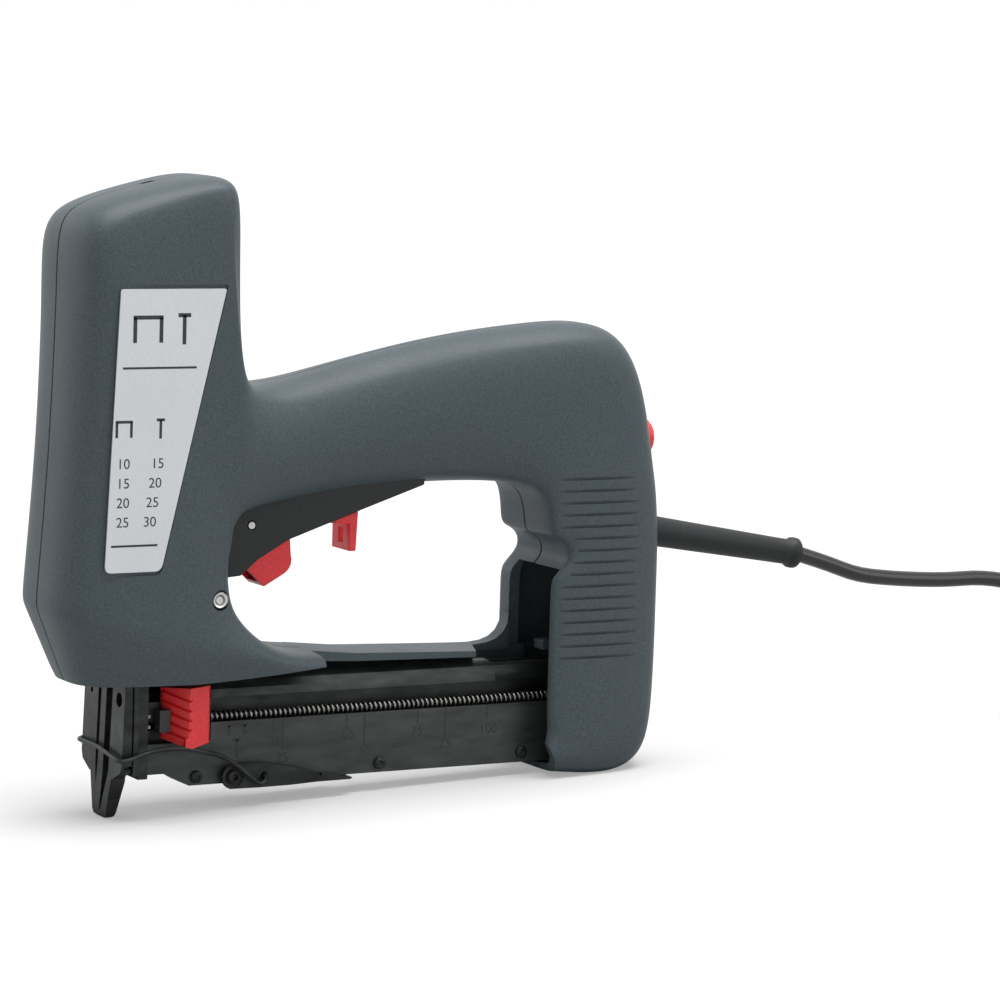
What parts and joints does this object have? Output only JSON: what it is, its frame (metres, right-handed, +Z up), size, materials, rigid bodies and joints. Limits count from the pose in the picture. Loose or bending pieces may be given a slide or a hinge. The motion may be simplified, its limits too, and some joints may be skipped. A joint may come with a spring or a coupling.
{
  "type": "electric stapler",
  "caption": "Hand-held mains tacker for staples and nails: moulded housing round a finger opening, steel nose and sliding-feed magazine, trigger, safety catch, power dial and lead.",
  "frame": {"origin": "middle of the footprint of the tool without its lead, on the floor it stands on", "axes": "+Z up, +X from the nose towards the grip and lead, +Y to the tool's right side; the tool stands on its nose tip and grip foot and leans back by 1.9 degrees"},
  "size_m": [0.595, 0.0644, 0.2061],
  "materials": {
    "slate_plastic": "fine matte texture",
    "black_plastic": "satin black",
    "red_plastic": "satin red",
    "blackened_steel": "black, slightly worn",
    "bright_steel": "bright",
    "brushed_label": "brushed silver",
    "copper_winding": "enamelled copper wire",
    "soft_rubber": "matte",
    "glossy_cord": "glossy sheath",
    "board": "circuit board",
    "brass_pin": "plated"
  },
  "bodies": {
    "housing": {"bumper": "soft_rubber", "capacitor": "black_plastic", "circuit_board": "board", "coil_bobbin": "black_plastic", "coil_winding": "copper_winding", "cord_clamp": "black_plastic", "cord_hank": "glossy_cord", "cord_lead": "glossy_cord", "cord_sleeve": "soft_rubber", "cord_tie": "soft_rubber", "front_bolt": "bright_steel", "grip_screw": "bright_steel", "guide_rod": "bright_steel", "handle_rear_screw": "bright_steel", "handle_screw": "bright_steel", "head_screw": "bright_steel", "label_plate": "brushed_label", "latch_pin": "blackened_steel", "left_shell": "slate_plastic", "lower_bar": "slate_plastic", "magazine_core": "blackened_steel", "magazine_rail": "blackened_steel", "magazine_rivet_1": "blackened_steel", "magazine_rivet_2": "blackened_steel", "magazine_rivet_3": "blackened_steel", "nose_block": "blackened_steel", "nose_cover": "blackened_steel", "plug_body": "black_plastic", "plug_pin_left": "brass_pin", "plug_pin_right": "brass_pin", "potentiometer": "black_plastic", "pusher_spring": "bright_steel", "return_spring": "bright_steel", "right_shell": "slate_plastic", "solenoid_yoke": "blackened_steel", "spring_stop": "blackened_steel", "trigger_guard": "black_plastic", "trigger_pin": "bright_steel", "trigger_switch": "black_plastic"},
    "driver": {"plunger": "bright_steel", "driver_blade": "bright_steel"},
    "feeder": {"pusher": "black_plastic", "slider_knob": "red_plastic"},
    "trigger": {"trigger": "red_plastic"},
    "safety_catch": {"safety_catch": "red_plastic"},
    "power_dial": {"power_dial": "red_plastic"},
    "latch_lever": {"latch_lever": "blackened_steel"},
    "wire_bail": {"wire_bail": "blackened_steel"}
  },
  "joints": [
    {"name": "driver_stroke", "type": "slide", "parent": "housing", "child": "driver", "axis": [0.0332, 0, 0.9995], "range_m": [-0.041, 0], "stiffness_N_per_m": 150, "springref_m": 0.02, "deforming": ["return_spring"]},
    {"name": "feed_slide", "type": "slide", "parent": "housing", "child": "feeder", "axis": [0.9995, 0, -0.0332], "range_m": [0, 0.108], "stiffness_N_per_m": 40, "springref_m": -0.05, "deforming": ["pusher_spring"]},
    {"name": "trigger_pull", "type": "hinge", "parent": "housing", "child": "trigger", "pos_m": [-0.04306, 0.00004, 0.09344], "axis": [0, -1, 0], "range_deg": [0, 8], "stiffness_Nm_per_rad": 0.3, "springref_deg": -17.19},
    {"name": "catch_slide", "type": "slide", "parent": "housing", "child": "safety_catch", "axis": [0.9587, 0, 0.2843], "range_m": [0, 0.005], "stiffness_N_per_m": 200, "springref_m": -0.005},
    {"name": "dial_turn", "type": "hinge", "parent": "housing", "child": "power_dial", "pos_m": [0.11317, 0.00004, 0.11277], "axis": [0.9995, 0, -0.0332], "range_deg": [-140, 140]},
    {"name": "latch_swing", "type": "hinge", "parent": "housing", "child": "latch_lever", "pos_m": [-0.05011, 0.00004, 0.01053], "axis": [0, 1, 0], "range_deg": [0, 95]},
    {"name": "bail_swing", "type": "hinge", "parent": "latch_lever", "child": "wire_bail", "pos_m": [-0.03922, 0.00004, 0.01017], "axis": [0, 1, 0], "range_deg": [-90, 0]}
  ],
  "couplings": [
    {"joint": "bail_swing", "follows": "latch_swing", "ratio": -0.885}
  ]
}
